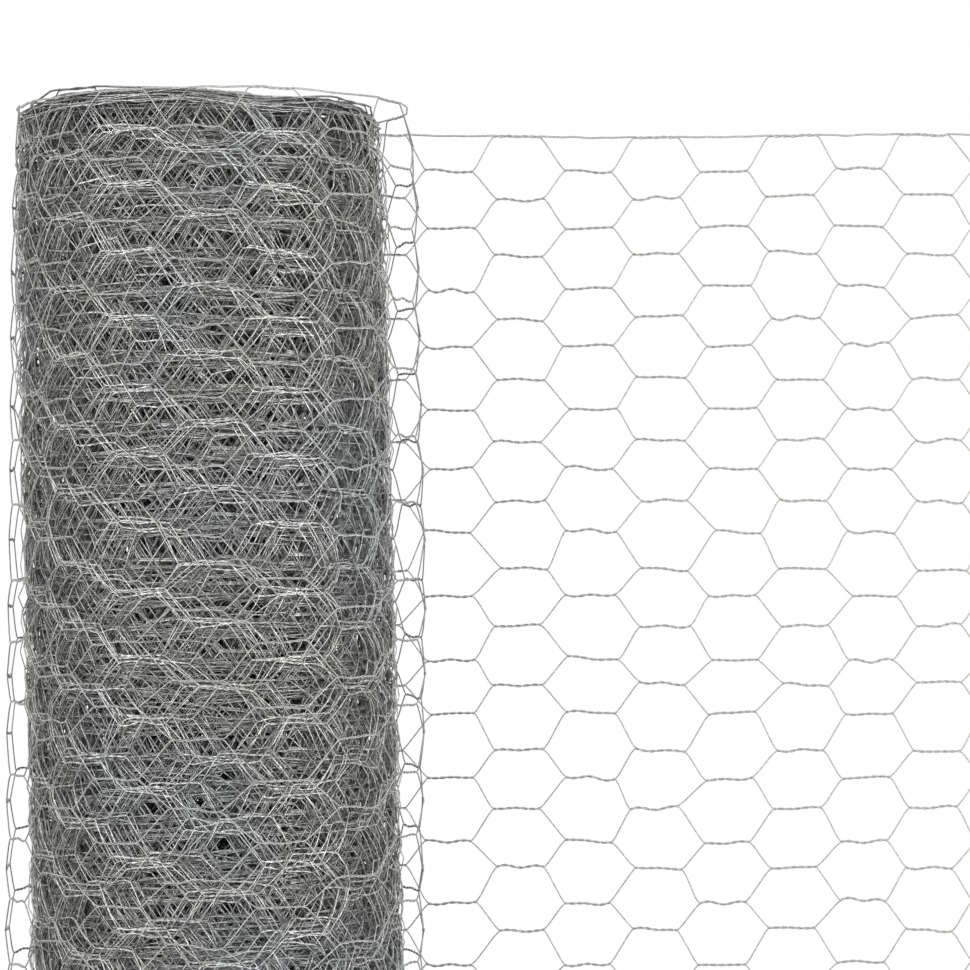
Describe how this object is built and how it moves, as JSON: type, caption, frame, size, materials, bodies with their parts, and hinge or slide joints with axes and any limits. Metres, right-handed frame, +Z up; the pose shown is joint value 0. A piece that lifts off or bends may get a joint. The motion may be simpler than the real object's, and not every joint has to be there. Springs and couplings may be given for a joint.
{
  "type": "roll of chicken wire",
  "caption": "Upright roll of galvanised hexagonal wire netting, its outer turn sprung loose and its free end drawn out flat to one side.",
  "frame": {"origin": "centre of the open core at the bottom end of the standing roll", "axes": "+Z up the core, +X the way the free end is drawn out, +Y away from the viewer, to the side of the roll that the free end leaves"},
  "size_m": [0.7958, 0.3343, 0.9144],
  "materials": {
    "wound_netting": "galvanised wire, dull grey, many turns deep",
    "galvanised_wire": "galvanised wire, dull grey"
  },
  "bodies": {
    "root": {"roll": "wound_netting", "loose_turn_right_back": "galvanised_wire", "loose_turn_right_front": "galvanised_wire", "loose_turn_left_front": "galvanised_wire", "loose_turn_left_back": "galvanised_wire", "tail_near": "galvanised_wire", "tail_far": "galvanised_wire"}
  },
  "joints": []
}
